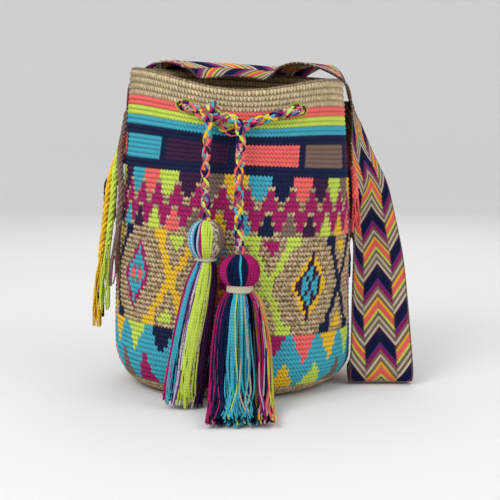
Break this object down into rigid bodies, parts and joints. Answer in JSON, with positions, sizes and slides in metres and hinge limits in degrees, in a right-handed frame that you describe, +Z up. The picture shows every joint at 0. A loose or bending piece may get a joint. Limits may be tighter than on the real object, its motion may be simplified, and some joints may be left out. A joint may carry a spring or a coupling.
{
  "type": "wayuu mochila bag",
  "caption": "Crocheted drawstring shoulder bag with an open round mouth, a herringbone strap, a braided drawstring with two tassels, and cord fringes.",
  "frame": {"origin": "centre of the bag's flat base", "axes": "+Z up, the bag's front with the drawstring knot faces -Y, +X is to the right seen from the front"},
  "size_m": [0.3282, 0.3443, 0.3467],
  "materials": {
    "crochet_yarn": "matte crocheted yarn",
    "strap_yarn": "matte braided yarn",
    "braid_yarn": "matte braided yarn",
    "tassel_yarn": "matte loose yarn",
    "tie_yarn": "matte wound yarn",
    "fringe_yarn": "matte twisted yarn"
  },
  "bodies": {
    "root": {"bag_body": "crochet_yarn", "shoulder_strap": "strap_yarn", "drawstring": "braid_yarn", "left_tassel": "tassel_yarn", "right_tassel": "tassel_yarn", "left_tassel_tie": "tie_yarn", "right_tassel_tie": "tie_yarn", "left_fringe_cord_1": "fringe_yarn", "left_fringe_cord_2": "fringe_yarn", "left_fringe_cord_3": "fringe_yarn", "left_fringe_cord_4": "fringe_yarn", "left_fringe_cord_5": "fringe_yarn", "left_fringe_cord_6": "fringe_yarn", "right_fringe_cord_1": "fringe_yarn", "right_fringe_cord_2": "fringe_yarn", "right_fringe_cord_3": "fringe_yarn", "right_fringe_cord_4": "fringe_yarn"}
  },
  "joints": []
}
